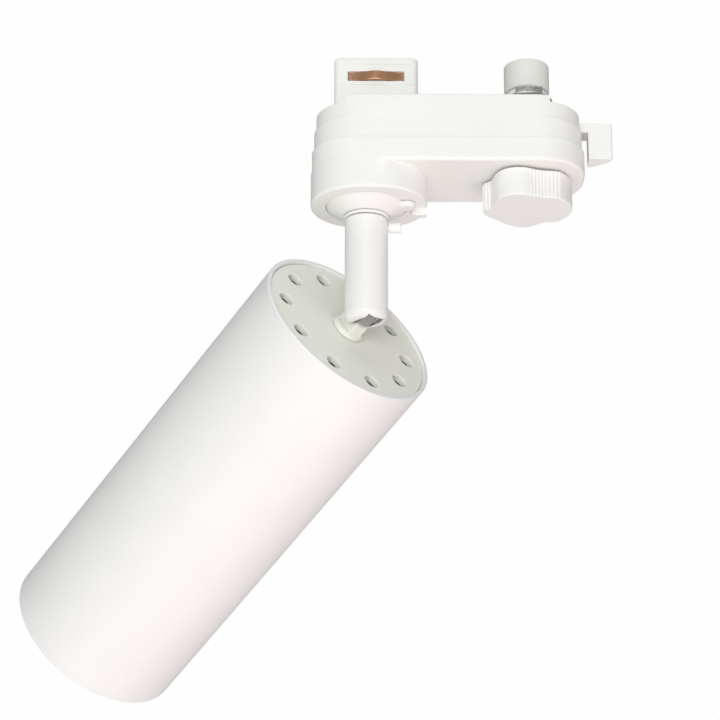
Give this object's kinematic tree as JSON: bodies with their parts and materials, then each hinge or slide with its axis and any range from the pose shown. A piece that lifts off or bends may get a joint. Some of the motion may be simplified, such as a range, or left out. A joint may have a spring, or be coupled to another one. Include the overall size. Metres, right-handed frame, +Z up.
{
  "type": "track lighting fixture",
  "caption": "Cylindrical spotlight with a vented rear cap on a round stem, hung from a track adapter with a lock lever and a lobed circuit selector knob.",
  "frame": {"origin": "centre of the adapter's top face, which bears on the underside of the track", "axes": "+X along the track towards the selector knob and lock lever, +Z up into the track, +Y across the track"},
  "size_m": [0.2035, 0.1501, 0.1975],
  "materials": {
    "white_plastic": "satin moulded polycarbonate",
    "inner_plastic": "matt moulded plastic",
    "black_plastic": "matt black moulded plastic",
    "white_paint": "satin white powder coat",
    "cap_paint": "satin off-white powder coat",
    "steel": "zinc-plated steel",
    "aluminium": "bare aluminium",
    "copper": "bright copper alloy",
    "brass": "turned brass",
    "board": "green solder mask",
    "phosphor": "yellow phosphor silicone",
    "ceramic": "white ceramic",
    "glass": "clear glass",
    "silicone": "grey silicone",
    "sleeve": "dark blue shrink sleeve",
    "tape": "yellow winding tape"
  },
  "bodies": {
    "adapter": {"upper_housing": "white_plastic", "lower_housing": "white_plastic", "housing_end_screw": "steel", "contact_carrier": "white_plastic", "neutral_contact": "copper", "earth_contact": "copper", "terminal_block": "inner_plastic", "terminal_screw_1": "brass", "terminal_screw_2": "brass", "terminal_screw_3": "brass", "adapter_lead": "white_plastic"},
    "lock": {"lock_lever": "white_plastic", "lock_sleeve": "white_plastic", "lock_cam": "steel"},
    "selector": {"selector_knob": "white_plastic", "selector_spindle": "steel", "phase_carrier": "inner_plastic", "phase_contact": "copper"},
    "swivel": {"swivel_base": "white_plastic", "threaded_nipple": "brass", "friction_washer": "steel", "swivel_nut": "steel", "stem_collar": "white_paint", "stem": "white_paint", "stem_lock_screw": "white_paint", "pivot_screw": "steel", "stem_lead": "white_plastic"},
    "head": {"knuckle": "cap_paint", "knuckle_washer": "steel", "knuckle_nut": "steel", "pivot_washer_left": "inner_plastic", "pivot_washer_right": "inner_plastic", "rear_cap": "cap_paint", "body_tube": "white_paint", "driver_tray": "inner_plastic", "driver_board": "board", "driver_transformer": "tape", "driver_capacitor": "sleeve", "driver_choke": "black_plastic", "output_capacitor": "sleeve", "heat_sink": "aluminium", "led_board": "ceramic", "led_emitter": "phosphor", "led_holder": "ceramic", "holder_screw_1": "steel", "holder_screw_2": "steel", "reflector": "aluminium", "lens_seal": "silicone", "front_lens": "glass", "front_ring": "black_plastic", "head_lead": "white_plastic", "led_lead": "black_plastic"}
  },
  "joints": [
    {"name": "swivel_pan", "type": "hinge", "parent": "adapter", "child": "swivel", "pos_m": [-0.02709, 0, -0.0336], "axis": [0, 0, 1], "range_deg": [-316, 5]},
    {"name": "head_tilt", "type": "hinge", "parent": "swivel", "child": "head", "pos_m": [-0.02709, 0, -0.06876], "axis": [0.7484, 0.6633, 0], "range_deg": [-60, 30]},
    {"name": "lock_lever_turn", "type": "hinge", "parent": "adapter", "child": "lock", "pos_m": [0.0268, 0, -0.0058], "axis": [0, 0, 1], "range_deg": [0, 90]},
    {"name": "selector_turn", "type": "hinge", "parent": "adapter", "child": "selector", "pos_m": [0.0268, 0, -0.0295], "axis": [0, 0, 1], "range_deg": [0, 270]}
  ]
}
